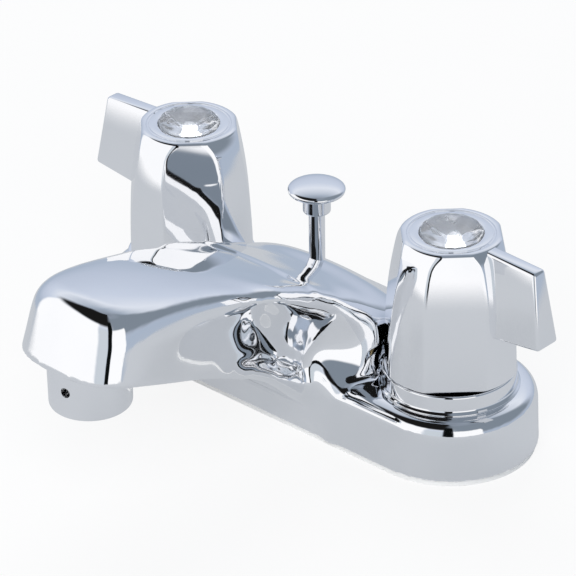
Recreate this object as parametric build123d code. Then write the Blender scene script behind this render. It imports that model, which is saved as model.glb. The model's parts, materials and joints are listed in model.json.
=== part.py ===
from build123d import *
import math
import os

# Centerset bathroom faucet, millimetres. The origin lies on the deck, midway between the two shanks.
# +X points to the right handle, -Y to the front, where the spout reaches, and +Z up.

# Base
shank_spacing = 101.6
base_radius = 26.0
base_draft = 2.0
base_top = 20.0
base_edge_radius = 4.5
gasket_thickness = 1.6
gasket_inset = 0.8
gasket_hole_clearance = 0.6

# Spout
outlet_reach = 94.0
nose_low = 44.0
nose_high = 74.0
nose_edge_radius = 3.0

# Arched recess under the spout in the front wall
recess_half_width = 30.0
recess_height = 11.0
recess_depth = 1.6

# Gusset beside the spout root: its top plane passes through three corners
gusset_nose = (18.0, -55.5, 37.8)
gusset_outer = (20.0, -33.9, 24.8)
gusset_inner = (13.0, -41.8, 33.5)
gusset_reach_x = 23.0
gusset_floor_y = -24.0

# Water ways
channel_radius = 4.0
channel_height = 16.0
channel_back = 9.0
riser_radius = 4.5
outlet_height = 58.0
cavity_wall = 3.4
cavity_height = 14.0
boss_radius = 13.5
rib_half_width = 5.6
root_rib_half_width = 7.5

# Lift rod
rod_radius = 2.38
rod_clearance = 0.07
rod_bottom = -62.0
knob_radius = 8.4
knob_height = 66.4
knob_thickness = 3.4
knob_dome = 1.4
knob_neck_radius = 4.1
knob_neck_length = 9.4
knob_grip = 6.0

# Shanks and what they carry
shank_radius = 10.4
shank_bore = 6.4
shank_bottom = -46.0
shank_depth = 6.0
thread_pitch = 1.814
thread_depth = 0.9
locknut_flats = 31.0
locknut_thickness = 6.0
washer_radius = 17.5
washer_thickness = 1.6
deck_thickness = 20.0
screw_clearance = 0.05

# Valves
chamber_radius = 9.5
seat_floor = 10.0
seat_port_radius = 4.6
seal_thickness = 1.6
valve_fit = 0.08
disc_radius = 7.4
disc_thickness = 3.0
disc_fit = 0.1
valve_shoulder = 24.0
valve_hex_flats = 21.0
valve_hex_thickness = 4.5
valve_neck_radius = 6.6
valve_top = 34.0
valve_window = 6.0
drive_thickness = 3.2
stem_radius = 4.0
spindle_radius = 3.4
spindle_bottom = 36.0
stem_top = 49.6
ring_section = 0.7
stem_ring_height = 30.0
stem_ring_inner = 2.6
body_ring_height = 22.2
body_ring_section = 0.9

# Collar under each handle
collar_radius = 19.4
collar_top = 25.8
collar_wall = 2.2
collar_hole = 12.6
collar_foot = 1.0
collar_foot_height = 0.8
handle_gap = 1.6

# Handles
handle_bottom = 26.8
handle_top = 68.7
handle_top_radius = 14.4
handle_flat_base = 18.3
handle_edge = 0.7
handle_wall = 2.6
hub_radius = 6.4
hub_bottom = 36.0
hub_fit = 0.04
web_bottom = 50.0
pocket_floor = 63.0
pocket_fit = 0.2
screw_pocket_radius = 5.0
screw_pocket_floor = 54.0
groove_inner = 11.9
groove_outer = 12.7
groove_depth = 0.6
wing_root = 9.0
wing_tip_bottom = 35.6
wing_tip_top = 31.9
wing_root_bottom = 41.6
wing_end_bottom = 44.8
wing_root_top = 68.6
wing_end_top = 67.5
wing_half_top = 2.3
wing_half_bottom = 4.6
wing_edge = 0.9
handle_screw_radius = 2.0
handle_screw_head = 4.0
handle_screw_head_height = 2.6
handle_screw_length = 13.0
handle_screw_recess = 1.4
button_radius = 8.95
button_body = 5.8
button_dome = 2.4
button_facets = 12
insert_thickness = 0.8

# Aerator
aerator_radius = 11.9
aerator_bottom = 36.0
aerator_shoulder = 50.4
aerator_thread_radius = 10.4
aerator_top = 56.0
aerator_lip = 9.2
aerator_lip_height = 1.6
aerator_bore = 9.6
aerator_edge = 0.9
aerator_fit = 0.3
wrench_hole_radius = 1.5
wrench_hole_height = 43.0
wrench_hole_turn = 8.0
screen_height = 5.0
screen_bar = 1.0
screen_pitch = 2.6
aerator_washer_thickness = 1.6

half_spacing = shank_spacing / 2
shank_top = gasket_thickness + shank_depth
fixed_disc_floor = seat_floor + seal_thickness
moving_disc_floor = fixed_disc_floor + disc_thickness
drive_floor = moving_disc_floor + disc_thickness
drive_top = drive_floor + drive_thickness
insert_top = pocket_floor + insert_thickness
button_rim = insert_top + button_body
knob_neck_bottom = knob_height - knob_neck_length
sides = {"left": -1, "right": 1}

# Profile of a handle's corners: (radius, z)
handle_profile = [
    (20.3, 26.8), (20.1, 36.0), (19.6, 46.0), (18.6, 55.0), (17.3, 61.5), (15.9, 66.0), (14.9, 67.9),
]
# Distance of a handle's four flats from its axis: (distance, z)
flat_profile = [
    (18.4, 20.0), (18.3, 28.0), (18.0, 38.0), (17.3, 48.0), (16.5, 54.5), (15.4, 61.5), (14.5, 66.5), (13.6, 71.0),
]
# Half outlines of the hump over the base: Y, then (x, z) from the crest outwards.
hump_stations = [
    (25.5, [(0, 22.6), (10, 22.4), (17, 21.9), (23, 21.1), (27, 20.4), (29.5, 19.9), (32, 19.2)]),
    (21.3, [(0, 25.8), (10, 25.5), (17, 24.7), (23, 23.6), (27, 22.6), (29.5, 21.8), (32, 20.7)]),
    (17.0, [(0, 29), (10, 28.6), (17, 27.8), (23, 26.4), (27, 25), (29.5, 23.8), (32, 22.2)]),
    (9.0, [(0, 35.6), (10, 35.2), (17, 34.3), (23, 32.5), (27, 30.7), (29.5, 28.9), (32, 26.6)]),
    (1.0, [(0, 41), (10, 40.6), (17, 39.6), (23, 37.6), (27, 35.2), (29.5, 32.8), (32, 29.6)]),
    (-6.0, [(0, 43), (10, 42.8), (17, 42.2), (23, 40.6), (27, 38), (30, 33.6), (32.5, 27.6)]),
    (-11.0, [(0, 44.8), (10, 44.6), (17, 44.1), (23, 42.8), (27, 39.2), (29.8, 32.5), (32, 24.5)]),
    (-16.7, [(0, 47), (10, 46.8), (17, 46.3), (23.6, 44.6), (26.6, 39), (27, 29), (31, 22.3)]),
    (-21.0, [(0, 48.8), (10, 48.6), (17, 48.2), (23.2, 46.8), (24.2, 39.5), (22.8, 28.5), (29.3, 21.3)]),
    (-25.6, [(0, 50.8), (10, 50.6), (17, 50.3), (22.6, 49), (22.2, 40.5), (19.6, 28.4), (28.3, 20.8)]),
]
# Half outlines of the spout: Y, then (x, z) from the crest outwards and down.
spout_stations = [
    (-10.0, [(0, 43), (8, 42.5), (13, 41), (16, 38.5), (16.6, 35.5),
            (16, 30), (15, 25), (14.2, 20), (13.6, 14), (13.4, 5)]),
    (-18.0, [(0, 47), (8, 46.8), (15, 46), (20, 43.5), (21, 40.5),
            (19.5, 34), (17, 27), (15, 21), (14, 14), (13.6, 5)]),
    (-26.0, [(0, 51), (8, 50.8), (16, 50.2), (21.8, 49.3), (22.9, 47.3),
            (20.8, 38), (18.9, 28), (16.2, 23.5), (14.4, 16), (13.4, 6)]),
    (-34.0, [(0, 54.6), (8, 54.4), (16, 53.9), (21.6, 52.9), (22.7, 50.9),
            (20.2, 42), (18.5, 33.6), (15.6, 30), (13.2, 23), (12, 12)]),
    (-41.0, [(0, 57.4), (8, 57.2), (15.8, 56.7), (21.2, 55.6), (22.3, 53.4),
            (20.6, 49), (19.2, 44.6), (16, 41), (13.2, 33), (12, 18)]),
    (-48.0, [(0, 60), (8, 59.8), (15.2, 59.2), (19.9, 57.2), (20.9, 55),
            (20.3, 53.2), (19.2, 51), (17, 47.8), (14.8, 40), (13.2, 22)]),
    (-54.5, [(0, 62.2), (8, 62), (14.8, 61.3), (19.4, 59.6), (20.4, 57.2),
            (20.4, 55), (19.7, 52), (18.7, 47.6), (17.6, 40), (16, 27)]),
    (-66.0, [(0, 65.9), (8, 65.6), (14.4, 64.8), (18.6, 62.9), (19.8, 60.4),
            (20.1, 57.5), (19.8, 54), (19.3, 49), (18.6, 42), (17.6, 31)]),
    (-80.0, [(0, 69.3), (8, 68.9), (14.2, 67.9), (18.4, 65.8), (19.7, 63),
            (20.3, 60), (20.3, 56.5), (20, 51.5), (19.5, 46), (18.8, 37)]),
    (-93.0, [(0, 71), (8, 70.5), (14, 69.4), (18.2, 67.2), (19.6, 64.4),
            (20.3, 61.4), (20.4, 58), (20.4, 53.5), (20.4, 48), (20.2, 41)]),
    (-103.0, [(0, 71.4), (8, 70.9), (14, 69.8), (18.2, 67.6), (19.6, 64.8),
            (20.3, 61.8), (20.4, 58.5), (20.7, 54.5), (20.9, 49.5), (21, 43)]),
    (-113.0, [(0, 71.6), (8, 71.1), (14, 70), (18.2, 67.8), (19.6, 65),
            (20.3, 62), (20.4, 59), (20.8, 55.5), (21.1, 51), (21.2, 45)]),
]
# Lower edge of the spout's sides: (Y, z)
rim_line = [
    (-22.0, 7.0), (-26.5, 10.6), (-31.0, 14.6), (-37.0, 20.6), (-44.0, 26.0), (-53.0, 31.0),
    (-67.0, 37.2), (-82.0, 43.2), (-92.0, 47.2), (-101.0, 49.8), (-113.0, 50.6),
]


# Plan of the spout's nose at its lower and upper height: half outlines (x, y)
nose_plan_low = [(0, -110.2), (7, -109.8), (14, -107.9), (20.8, -102.4), (26.5, -82)]
nose_plan_high = [(0, -102.6), (7, -102.1), (14, -99.5), (19.4, -93.7), (25, -80)]


def stadium(radius, low, high, taper=0.0):
    sketch = SlotOverall(shank_spacing + 2 * radius, 2 * radius)
    return extrude(Plane.XY.offset(low) * sketch, high - low, taper=taper)


def upright(radius, low, high, x=0.0, y=0.0):
    return Pos(x, y, (low + high) / 2) * Cylinder(radius, high - low)


def block(x_low, x_high, y_low, y_high, z_low, z_high):
    size = Box(x_high - x_low, y_high - y_low, z_high - z_low)
    return Pos((x_low + x_high) / 2, (y_low + y_high) / 2, (z_low + z_high) / 2) * size


def hexagon(flats, low, high, x=0.0, y=0.0):
    sketch = RegularPolygon(flats / math.sqrt(3), 6)
    return extrude(Plane.XY.offset(low) * Pos(x, y) * sketch, high - low)


def turned(points, x=0.0, y=0.0):
    profile = make_face(Plane.XZ * Polyline(*points, close=True))
    return Pos(x, y, 0) * revolve(profile, Axis.Z)


def cross_section(y, outline, floor):
    right = [Vector(x, y, z) for x, z in outline]
    left = [Vector(-x, y, z) for x, z in reversed(outline[1:])]
    top = Spline(*(left + right))
    start = Vector(-outline[-1][0], y, floor)
    end = Vector(outline[-1][0], y, floor)
    walls = Polyline(left[0], start, end, right[-1])
    return make_face(Wire([top] + list(walls.edges())))


def below_rim(drop=0.0):
    lower = Spline(*[Vector(0, y, z - drop) for y, z in rim_line])
    first = Vector(0, rim_line[0][0], rim_line[0][1] - drop)
    last = Vector(0, rim_line[-1][0], rim_line[-1][1] - drop)
    under = Polyline(last, Vector(0, last.Y, -15), Vector(0, first.Y, -15), first)
    profile = make_face(Wire([lower] + list(under.edges())))
    return extrude(profile, 45, dir=(1, 0, 0), both=True)


def nose_section(plan, height):
    right = [Vector(x, y, height) for x, y in plan]
    left = [Vector(-x, y, height) for x, y in reversed(plan[1:])]
    front = Spline(*(left + right))
    back = Polyline(right[-1], Vector(plan[-1][0], -50, height), Vector(-plan[-1][0], -50, height), left[0])
    return make_face(Wire([front] + list(back.edges())))


def make_hump():
    solid = loft([cross_section(y, outline, 6.0) for y, outline in hump_stations])
    for side in sides.values():
        solid -= upright(collar_radius + handle_gap, 0, 60, side * half_spacing)
    return solid


def make_spout():
    solid = loft([cross_section(y, outline, outline[-1][1] - 2.0) for y, outline in spout_stations])
    low = nose_section(nose_plan_low, nose_low)
    high = nose_section(nose_plan_high, nose_high)
    solid &= loft([low, high]) + block(-40, 40, -80, 20, -10, 80) + block(-40, 40, -100, 20, -10, nose_low)
    top = solid.edges().filter_by(lambda edge: edge.center().Y < -98 and edge.center().Z > 60)
    solid = fillet(top, nose_edge_radius)
    return solid - below_rim()


def make_gusset(side):
    nose = Vector(*gusset_nose)
    outer = Vector(*gusset_outer)
    inner = Vector(*gusset_inner)
    outline = [(0, nose.Y), (nose.X, nose.Y), (outer.X, outer.Y), (gusset_reach_x, gusset_floor_y), (0, gusset_floor_y)]
    solid = extrude(make_face(Polyline(*outline, close=True)), 60)
    normal = (outer - nose).cross(inner - nose).normalized()
    if normal.Z < 0:
        normal = normal * -1
    solid -= Plane(origin=nose, z_dir=normal) * block(-90, 90, -90, 90, 0, 90)
    solid -= below_rim()
    return solid if side > 0 else mirror(solid, Plane.YZ)


def make_recess():
    rise = recess_height
    radius = (recess_half_width ** 2 + rise ** 2) / (2 * rise)
    arch = Pos(0, -base_radius, rise - radius) * Rot(90, 0, 0) * Cylinder(radius, 2 * recess_depth)
    return arch & block(-60, 60, -60, 0, -5, 40)


def make_casting():
    low = gasket_thickness
    base = stadium(base_radius, low, base_top, taper=base_draft)
    rim = base.faces().sort_by(Axis.Z)[-1].edges()
    base = fillet(rim, base_edge_radius)
    for side in sides.values():
        base += upright(chamber_radius + 2.4, low, valve_shoulder, side * half_spacing)
    solid = base + make_hump() + make_spout()
    for side in sides.values():
        solid += make_gusset(side)
    solid -= make_recess()
    solid -= make_cavity()
    for side in sides.values():
        x = side * half_spacing
        solid -= upright(shank_radius + screw_clearance, 0, shank_top, x)
        solid -= upright(seat_port_radius, 0, base_top, x)
        solid -= upright(chamber_radius, seat_floor, 60, x)
    channel = Pos(0, -channel_back, channel_height) * Rot(0, 90, 0) * Cylinder(channel_radius, shank_spacing)
    solid -= channel
    start = Vector(0, -channel_back, channel_height)
    end = Vector(0, -outlet_reach, outlet_height)
    riser = Cylinder(riser_radius, (end - start).length)
    solid -= Plane(origin=(start + end) * 0.5, z_dir=end - start) * riser
    solid -= upright(aerator_radius + aerator_fit, 0, aerator_shoulder, 0, -outlet_reach)
    socket_top = aerator_top + aerator_washer_thickness
    solid -= upright(aerator_thread_radius + screw_clearance, 0, socket_top, 0, -outlet_reach)
    solid -= upright(rod_radius + rod_clearance, -1, 80)
    return solid


def make_cavity():
    low = gasket_thickness - 1
    hollow = stadium(base_radius - cavity_wall, low, cavity_height)
    hollow -= block(-80, 80, -channel_back - rib_half_width, -channel_back + rib_half_width, 0, 30)
    hollow -= block(-root_rib_half_width, root_rib_half_width, -30, 0, 0, 30)
    hollow -= upright(rod_radius + 3, 0, 30)
    for side in sides.values():
        hollow -= upright(boss_radius, 0, 30, side * half_spacing)
    return hollow


def make_gasket():
    gasket = stadium(base_radius - gasket_inset, 0, gasket_thickness)
    for side in sides.values():
        gasket -= upright(shank_radius + gasket_hole_clearance, -1, 3, side * half_spacing)
    return gasket - upright(rod_radius + gasket_hole_clearance, -1, 3)


def make_shank(x):
    turns = int((0 - shank_bottom - 3) / thread_pitch)
    points = [(shank_bore, shank_top), (shank_radius, shank_top)]
    for turn in range(turns):
        z = -2.0 - turn * thread_pitch
        points.append((shank_radius, z))
        points.append((shank_radius - thread_depth, z - thread_pitch / 2))
    points.append((shank_radius, -2.0 - turns * thread_pitch))
    points.append((shank_radius, shank_bottom + 0.8))
    points.append((shank_radius - 0.8, shank_bottom))
    points.append((shank_bore, shank_bottom))
    return turned(points, x)


def make_locknut(x):
    top = -deck_thickness - washer_thickness
    nut = hexagon(locknut_flats, top - locknut_thickness, top, x)
    return nut - upright(shank_radius + screw_clearance, top - 20, top + 1, x)


def make_washer(x):
    washer = upright(washer_radius, -deck_thickness - washer_thickness, -deck_thickness, x)
    return washer - upright(shank_radius + gasket_hole_clearance, -40, 0, x)


def make_seal(x):
    seal = upright(chamber_radius - valve_fit, seat_floor, fixed_disc_floor, x)
    return seal - upright(seat_port_radius, 0, 30, x)


def make_fixed_disc(x):
    disc = upright(disc_radius, fixed_disc_floor, moving_disc_floor, x)
    for y in (-disc_radius / 2, disc_radius / 2):
        disc -= upright(disc_radius / 4, 0, 40, x, y)
    return disc


def make_moving_disc(x):
    disc = upright(disc_radius, moving_disc_floor, drive_floor, x)
    notch = disc_radius / 4
    for side in sides.values():
        start = side * disc_radius / 4
        end = side * (disc_radius + 1)
        disc -= block(x + min(start, end), x + max(start, end), -notch, notch, 0, 40)
    return disc


def make_stem(x):
    stem = upright(disc_radius, drive_floor, drive_top, x)
    stem += upright(stem_radius, drive_floor, spindle_bottom, x)
    stem += upright(spindle_radius, spindle_bottom, stem_top, x)
    screw_end = screw_pocket_floor - handle_screw_length
    stem -= upright(handle_screw_radius + hub_fit, screw_end - 0.5, stem_top + 1, x)
    groove = upright(stem_radius + 1, stem_ring_height - ring_section - 0.1, stem_ring_height + ring_section + 0.1, x)
    groove -= upright(stem_ring_inner, 0, 60, x)
    return stem - groove


def make_stem_ring(x):
    middle = (stem_radius + stem_ring_inner) / 2
    section = (stem_radius - stem_ring_inner) / 2
    return Pos(x, 0, stem_ring_height) * Torus(middle, section)


def make_valve_body(x):
    outer = chamber_radius - valve_fit
    valve = upright(outer, fixed_disc_floor, valve_shoulder, x)
    valve += hexagon(valve_hex_flats, valve_shoulder, valve_shoulder + valve_hex_thickness, x)
    valve += upright(valve_neck_radius, valve_shoulder, valve_top, x)
    valve -= upright(disc_radius + disc_fit, 0, drive_top, x)
    valve -= upright(stem_radius + hub_fit, 0, valve_top + 1, x)
    for y in (-1, 1):
        start = y * (disc_radius - 1)
        end = y * (chamber_radius + 1)
        low = moving_disc_floor - 0.4
        valve -= block(x - valve_window / 2, x + valve_window / 2, min(start, end), max(start, end), low, drive_floor)
    groove = upright(outer + 1, body_ring_height - body_ring_section - 0.1, body_ring_height + body_ring_section + 0.1, x)
    groove -= upright(outer - 2 * body_ring_section, 0, 60, x)
    return valve - groove


def make_body_ring(x):
    middle = chamber_radius - valve_fit - body_ring_section
    return Pos(x, 0, body_ring_height) * Torus(middle, body_ring_section)


def make_collar(x):
    foot = base_top + collar_foot_height
    points = [
        (collar_radius - collar_wall, base_top),
        (collar_radius + collar_foot, base_top),
        (collar_radius + collar_foot, base_top + 0.3),
        (collar_radius, foot + 0.4),
        (collar_radius, collar_top - 0.4),
        (collar_radius - 0.4, collar_top),
        (collar_hole, collar_top),
        (collar_hole, collar_top - collar_wall),
        (collar_radius - collar_wall, collar_top - collar_wall),
    ]
    return turned(points, x)


def make_handle():
    corner = [Vector(radius, 0, z) for radius, z in handle_profile]
    side_line = Spline(*corner)
    top_edge = handle_top_radius - handle_edge
    closing = Polyline(corner[-1], (top_edge, 0, handle_top), (0, 0, handle_top), (0, 0, handle_bottom), corner[0])
    solid = revolve(make_face(Wire([side_line] + list(closing.edges()))), Axis.Z)
    flat = [Vector(distance, 0, z) for distance, z in flat_profile]
    flat_line = Spline(*flat)
    around = Polyline(flat[-1], (45, 0, flat[-1].Z), (45, 0, flat[0].Z), flat[0])
    cutter = extrude(make_face(Wire([flat_line] + list(around.edges()))), 40, dir=(0, 1, 0), both=True)
    for quarter in range(4):
        solid -= Rot(0, 0, 45 + 90 * quarter) * cutter
    solid += make_wing()
    solid -= turned([
        (0, handle_bottom - 5),
        (handle_flat_base - handle_wall, handle_bottom - 5),
        (handle_flat_base - handle_wall, handle_bottom + 2),
        (handle_top_radius - handle_wall, web_bottom - 3),
        (handle_top_radius - handle_wall, web_bottom),
        (0, web_bottom),
    ]) - upright(hub_radius, hub_bottom, web_bottom + 1)
    solid -= upright(spindle_radius + hub_fit, 0, web_bottom)
    solid -= upright(handle_screw_radius + hub_fit, 0, handle_top)
    solid -= upright(screw_pocket_radius, screw_pocket_floor, handle_top)
    solid -= upright(button_radius + pocket_fit, pocket_floor, handle_top + 1)
    solid -= upright(groove_outer, handle_top - groove_depth, handle_top + 1) - upright(groove_inner, 0, 80)
    return solid


def make_wing():
    side_face = make_face(Plane.XZ * Polyline(
        (wing_root, wing_root_bottom),
        (wing_tip_bottom, wing_end_bottom),
        (wing_tip_top, wing_end_top),
        (wing_root, wing_root_top),
        close=True,
    ))
    wing = extrude(side_face, 20, both=True)
    low = Plane.XY.offset(wing_root_bottom) * Pos(20, 0) * Rectangle(60, 2 * wing_half_bottom)
    high = Plane.XY.offset(wing_root_top) * Pos(20, 0) * Rectangle(60, 2 * wing_half_top)
    wing &= loft([low, high])
    return fillet(wing.edges().filter_by(lambda edge: edge.center().X > wing_root + 1), wing_edge)


def make_handle_screw(x):
    floor = screw_pocket_floor
    screw = upright(handle_screw_head, floor, floor + handle_screw_head_height, x)
    screw += upright(handle_screw_radius, floor - handle_screw_length, floor, x)
    top = floor + handle_screw_head_height
    for turn in (0, 90):
        slot = Pos(x, 0, top) * Rot(0, 0, turn) * Box(4.6, 0.9, 2 * handle_screw_recess)
        screw -= slot
    return screw


def make_insert(x):
    return upright(button_radius, pocket_floor, insert_top, x)


def make_button(x):
    rim = button_rim - 0.8
    points = [(0, insert_top), (button_radius, insert_top), (button_radius, rim), (button_radius - 0.5, button_rim)]
    for step in range(1, 7):
        turn = math.radians(15 * step)
        points.append(((button_radius - 0.5) * math.cos(turn), button_rim + button_dome * math.sin(turn)))
    button = turned(points)
    flats = RegularPolygon(button_radius - 1.2, button_facets, major_radius=False)
    crown = extrude(Plane.XY.offset(button_rim + button_dome) * flats, -4, taper=-58)
    button &= crown + upright(button_radius + 1, 0, button_rim - 0.4)
    return Pos(x, 0, 0) * button


def make_aerator_housing():
    points = [
        (aerator_lip, aerator_bottom),
        (aerator_radius - aerator_edge, aerator_bottom),
        (aerator_radius - 0.4, aerator_bottom + aerator_edge * 0.4),
        (aerator_radius, aerator_bottom + aerator_edge),
        (aerator_radius, aerator_shoulder - aerator_fit),
        (aerator_thread_radius, aerator_shoulder - aerator_fit),
        (aerator_thread_radius, aerator_top),
        (aerator_bore, aerator_top),
        (aerator_bore, aerator_bottom + aerator_lip_height),
        (aerator_lip, aerator_bottom + aerator_lip_height),
    ]
    housing = turned(points)
    hole = Pos(0, -aerator_radius, wrench_hole_height) * Rot(90, 0, 0) * Cylinder(wrench_hole_radius, 8)
    housing -= Rot(0, 0, wrench_hole_turn) * hole
    return Pos(0, -outlet_reach, 0) * housing


def make_aerator_screen():
    floor = aerator_bottom + aerator_lip_height
    outer = aerator_bore - aerator_fit / 2
    screen = upright(outer, floor, floor + screen_height)
    ring = upright(outer - 1.2, 0, 80)
    reach = int(outer / screen_pitch)
    slots = Part()
    for row in range(-reach, reach + 1):
        y = row * screen_pitch
        slots += block(-20, 20, y - (screen_pitch - screen_bar) / 2, y + (screen_pitch - screen_bar) / 2, 0, floor + 2)
        slots += block(y - (screen_pitch - screen_bar) / 2, y + (screen_pitch - screen_bar) / 2, -20, 20, floor + 2, 80)
    return Pos(0, -outlet_reach, 0) * (screen - (slots & ring))


def make_aerator_washer():
    top = aerator_top + aerator_washer_thickness
    washer = upright(aerator_thread_radius, aerator_top, top, 0, -outlet_reach)
    return washer - upright(aerator_bore - 2, 0, 80, 0, -outlet_reach)


def make_rod():
    return upright(rod_radius, rod_bottom, knob_neck_bottom + knob_grip)


def make_knob():
    under = knob_height - knob_thickness
    points = [
        (0, knob_neck_bottom),
        (knob_neck_radius - 0.8, knob_neck_bottom),
        (knob_neck_radius, knob_neck_bottom + 0.8),
        (knob_neck_radius, under - 0.8),
        (knob_neck_radius + 0.8, under),
        (knob_radius - 1.0, under + 0.8),
        (knob_radius, under + 1.6),
    ]
    for step in range(1, 7):
        turn = math.radians(15 * step)
        rise = knob_height - under - 1.6
        points.append((knob_radius * math.cos(turn), under + 1.6 + rise * math.sin(turn)))
    knob = turned(points)
    return knob - upright(rod_radius + hub_fit, 0, knob_neck_bottom + knob_grip)


def main():
    os.makedirs("parts", exist_ok=True)
    pieces = {
        "body_casting": make_casting(),
        "base_gasket": make_gasket(),
        "lift_rod": make_rod(),
        "lift_rod_knob": make_knob(),
        "aerator_housing": make_aerator_housing(),
        "aerator_screen": make_aerator_screen(),
        "aerator_washer": make_aerator_washer(),
    }
    handle = make_handle()
    for name, side in sides.items():
        x = side * half_spacing
        turned_handle = handle if side > 0 else mirror(handle, Plane.YZ)
        pieces[name + "_handle"] = Pos(x, 0, 0) * turned_handle
        pieces[name + "_shank"] = make_shank(x)
        pieces[name + "_locknut"] = make_locknut(x)
        pieces[name + "_washer"] = make_washer(x)
        pieces[name + "_seat_seal"] = make_seal(x)
        pieces[name + "_fixed_disc"] = make_fixed_disc(x)
        pieces[name + "_moving_disc"] = make_moving_disc(x)
        pieces[name + "_stem"] = make_stem(x)
        pieces[name + "_stem_ring"] = make_stem_ring(x)
        pieces[name + "_valve_body"] = make_valve_body(x)
        pieces[name + "_body_ring"] = make_body_ring(x)
        pieces[name + "_collar"] = make_collar(x)
        pieces[name + "_handle_screw"] = make_handle_screw(x)
        pieces[name + "_index_insert"] = make_insert(x)
        pieces[name + "_index_button"] = make_button(x)
    for name, piece in pieces.items():
        export_step(piece, f"parts/{name}.step")


main()
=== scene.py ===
import json
import math

import bmesh
import bpy
import numpy as np
from mathutils import Matrix, Vector


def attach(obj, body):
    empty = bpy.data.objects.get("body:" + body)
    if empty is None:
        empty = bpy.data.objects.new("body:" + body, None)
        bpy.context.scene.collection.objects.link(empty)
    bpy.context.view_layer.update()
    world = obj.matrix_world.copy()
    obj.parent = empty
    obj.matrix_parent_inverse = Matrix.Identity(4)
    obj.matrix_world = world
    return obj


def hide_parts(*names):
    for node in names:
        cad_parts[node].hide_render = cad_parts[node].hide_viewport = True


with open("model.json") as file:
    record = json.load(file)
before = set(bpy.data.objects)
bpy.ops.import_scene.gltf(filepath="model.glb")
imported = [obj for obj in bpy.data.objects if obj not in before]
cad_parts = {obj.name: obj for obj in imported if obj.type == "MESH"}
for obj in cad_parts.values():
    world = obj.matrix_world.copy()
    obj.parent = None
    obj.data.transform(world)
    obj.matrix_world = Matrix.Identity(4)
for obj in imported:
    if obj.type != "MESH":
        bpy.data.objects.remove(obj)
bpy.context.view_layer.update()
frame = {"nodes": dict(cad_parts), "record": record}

mm = 0.001
handleSides = {"left": -1, "right": 1}
print("frame loaded:", len(frame["nodes"]), "nodes")


# small helpers for meshes

def naturalSpline(knots, values, places):
    # natural cubic through values (one row for each knot), read at places
    t = np.asarray(knots, float)
    v = np.asarray(values, float)
    n = len(t)
    h = np.diff(t)
    a = np.zeros((n, n))
    b = np.zeros((n,) + v.shape[1:])
    a[0, 0] = 1
    a[-1, -1] = 1
    for i in range(1, n - 1):
        a[i, i - 1] = h[i - 1]
        a[i, i] = 2 * (h[i - 1] + h[i])
        a[i, i + 1] = h[i]
        b[i] = 6 * ((v[i + 1] - v[i]) / h[i] - (v[i] - v[i - 1]) / h[i - 1])
    m = np.linalg.solve(a, b.reshape(n, -1)).reshape(b.shape)
    x = np.clip(np.asarray(places, float), t[0], t[-1])
    i = np.clip(np.searchsorted(t, x, side="right") - 1, 0, n - 2)
    left = x - t[i]
    right = t[i + 1] - x
    shape = (-1,) + (1,) * (v.ndim - 1)
    left, right, hi = left.reshape(shape), right.reshape(shape), h[i].reshape(shape)
    curve = (m[i] * right**3 + m[i + 1] * left**3) / (6 * hi)
    return curve + (v[i] / hi - m[i] * hi / 6) * right + (v[i + 1] / hi - m[i + 1] * hi / 6) * left


def smoothLine(points, count):
    # even walk along a curve through the points
    p = np.asarray(points, float)
    along = np.concatenate([[0], np.cumsum(np.linalg.norm(np.diff(p, axis=0), axis=1))])
    return naturalSpline(along, p, np.linspace(0, along[-1], count))


def makeObject(name, vertices, faces):
    mesh = bpy.data.meshes.new(name)
    mesh.from_pydata([tuple(v) for v in np.asarray(vertices, float) * mm], [], [tuple(f) for f in faces])
    mesh.validate()
    mesh.update()
    return smoothObject(name, mesh)


def smoothObject(name, mesh):
    obj = bpy.data.objects.new(name, mesh)
    bpy.context.scene.collection.objects.link(obj)
    mesh.polygons.foreach_set("use_smooth", np.ones(len(mesh.polygons), bool))
    return obj


def sharpen(obj, degrees):
    obj.data.set_sharp_from_angle(angle=math.radians(degrees))


def recalculate(obj):
    made = bmesh.new()
    made.from_mesh(obj.data)
    bmesh.ops.remove_doubles(made, verts=made.verts, dist=1e-7)
    bmesh.ops.recalc_face_normals(made, faces=made.faces)
    made.to_mesh(obj.data)
    made.free()


def roundedProfile(corners, steps=5):
    # (radius, height, fillet) corners of a turned shape, each corner eased by its fillet
    line = []
    for i, (r, z, ease) in enumerate(corners):
        here = Vector((r, z))
        if ease <= 0 or i in (0, len(corners) - 1):
            line.append((r, z))
            continue
        before = Vector(corners[i - 1][:2]) - here
        after = Vector(corners[i + 1][:2]) - here
        cut = min(ease, before.length * 0.49, after.length * 0.49)
        start = here + before.normalized() * cut
        end = here + after.normalized() * cut
        for k in range(steps + 1):
            t = k / steps
            p = start * (1 - t) ** 2 + here * 2 * t * (1 - t) + end * t**2
            line.append((p.x, p.y))
    return line


def turnedShape(name, rows, x=0.0, y=0.0, segments=128, sharpAngle=40):
    # rows along the profile: a radius, or one for each segment, and a height; x and y are the axis
    angles = np.arange(segments) * 2 * np.pi / segments
    vertices = []
    faces = []
    rings = []
    for radius, z in rows:
        if np.isscalar(radius) and radius < 1e-6:
            rings.append([len(vertices)] * segments)
            vertices.append((x, y, z))
            continue
        r = np.broadcast_to(radius, segments)
        rings.append(list(range(len(vertices), len(vertices) + segments)))
        vertices += [(x + a * c, y + a * s, z) for a, c, s in zip(r, np.cos(angles), np.sin(angles))]
    closed = rings + ([rings[0]] if len(set(rings[0])) > 1 and len(set(rings[-1])) > 1 else [])
    for low, high in zip(closed[:-1], closed[1:]):
        for k in range(segments):
            n = (k + 1) % segments
            face = [low[k], low[n], high[n], high[k]]
            face = [v for i, v in enumerate(face) if v not in face[:i]]
            if len(face) > 2:
                faces.append(face)
    obj = makeObject(name, vertices, faces)
    recalculate(obj)
    sharpen(obj, sharpAngle)
    return obj


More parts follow.
